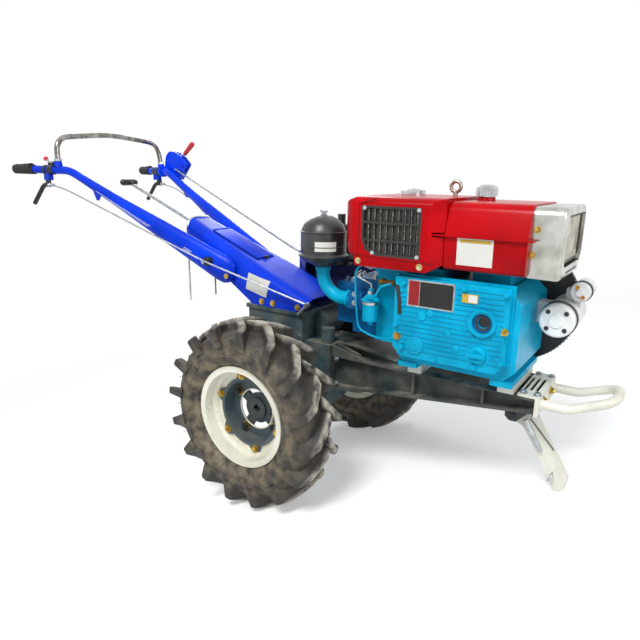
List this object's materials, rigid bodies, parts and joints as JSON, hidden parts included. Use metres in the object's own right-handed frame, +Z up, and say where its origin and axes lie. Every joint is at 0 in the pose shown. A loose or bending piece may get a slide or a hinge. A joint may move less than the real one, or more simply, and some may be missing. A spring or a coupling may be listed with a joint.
{
  "type": "walking tractor",
  "caption": "Two-wheel walking tractor with a horizontal diesel engine, lugged tyres, long steering handles and a front stand, parked.",
  "frame": {"origin": "on the floor below the middle of the parked machine's bounding box", "axes": "+X points forward to the bumper, +Y to the machine's left, +Z up from the floor; the machine is stored parked, nose-down on its stand"},
  "size_m": [2.1917, 0.882, 1.4473],
  "materials": {
    "tyre": "worn and dusty",
    "rim_steel": "pale grey paint, satin",
    "disc_steel": "dark grey-green paint, satin",
    "frame_paint": "dark blue-grey paint, satin",
    "cast_dark": "dark green-grey paint over castings, satin",
    "grey_steel": "off-white grey paint, satin",
    "engine_blue": "cyan-blue enamel, glossy",
    "head_blue": "darker blue enamel, glossy",
    "hood_red": "deep red enamel, glossy",
    "handle_blue": "royal blue enamel, glossy",
    "black_steel": "black paint, satin",
    "dusty_black": "black paint, dusty",
    "chrome": "polished",
    "zinc": "zinc plated",
    "starter_grey": "silver paint, satin",
    "rubber_black": "matte",
    "lamp_glass": "clear, over a dark reflector"
  },
  "bodies": {
    "chassis": {"air_cleaner": "dusty_black", "axle_housing_left": "cast_dark", "axle_housing_right": "cast_dark", "belt_guard": "frame_paint", "belts": "rubber_black", "bumper_loop": "grey_steel", "clutch_lever": "zinc", "clutch_quadrant": "handle_blue", "console": "handle_blue", "control_rods": "zinc", "cylinder_head": "head_blue", "engine_block": "engine_blue", "engine_mount_bars": "black_steel", "filler_caps": "hood_red", "frame_end_plate": "frame_paint", "frame_rail_left": "frame_paint", "frame_rail_right": "frame_paint", "front_plate": "grey_steel", "fuel_filter": "engine_blue", "fuel_lines": "zinc", "fuel_tank": "hood_red", "gear_cover": "engine_blue", "gearbox_case": "cast_dark", "grille": "black_steel", "grips": "rubber_black", "handle_left": "handle_blue", "handle_right": "handle_blue", "intake_elbow": "head_blue", "lamp_housing": "chrome", "lamp_lens": "lamp_glass", "lifting_eye": "zinc", "muffler": "black_steel", "push_arch": "chrome", "radiator_hood": "hood_red", "rear_hitch": "cast_dark", "shield_sheet": "frame_paint", "shift_lever": "zinc", "stand_bracket": "frame_paint", "starter_motor": "starter_grey", "steering_levers": "rubber_black", "throttle_lever": "zinc"},
    "wheel_left": {"tyre_left": "tyre", "rim_left": "rim_steel", "wheel_disc_left": "rim_steel", "hub_left": "disc_steel"},
    "wheel_right": {"tyre_right": "tyre", "rim_right": "rim_steel", "wheel_disc_right": "rim_steel", "hub_right": "disc_steel"},
    "stand": {"stand_leg": "grey_steel"},
    "lid": {"toolbox_lid": "handle_blue"},
    "flywheel": {"flywheel": "black_steel"},
    "clutch_pulley": {"clutch_pulley": "black_steel"}
  },
  "joints": [
    {"name": "wheel_left_spin", "type": "hinge", "parent": "chassis", "child": "wheel_left", "pos_m": [0.04574, 0.351, 0.312], "axis": [0, 1, 0], "continuous": true},
    {"name": "wheel_right_spin", "type": "hinge", "parent": "chassis", "child": "wheel_right", "pos_m": [0.04574, -0.351, 0.312], "axis": [0, 1, 0], "continuous": true},
    {"name": "stand_fold", "type": "hinge", "parent": "chassis", "child": "stand", "pos_m": [0.80339, 0, 0.23629], "axis": [0, 1, 0], "range_deg": [0, 100]},
    {"name": "lid_hinge", "type": "hinge", "parent": "chassis", "child": "lid", "pos_m": [-0.28124, 0, 0.93351], "axis": [0, -1, 0], "range_deg": [0, 95]},
    {"name": "flywheel_spin", "type": "hinge", "parent": "chassis", "child": "flywheel", "pos_m": [0.79371, 0, 0.5398], "axis": [0, 1, 0], "continuous": true},
    {"name": "clutch_pulley_spin", "type": "hinge", "parent": "chassis", "child": "clutch_pulley", "pos_m": [0.10723, 0, 0.53614], "axis": [0, 1, 0], "continuous": true}
  ],
  "couplings": [
    {"joint": "clutch_pulley_spin", "follows": "flywheel_spin", "ratio": 0.63462}
  ]
}
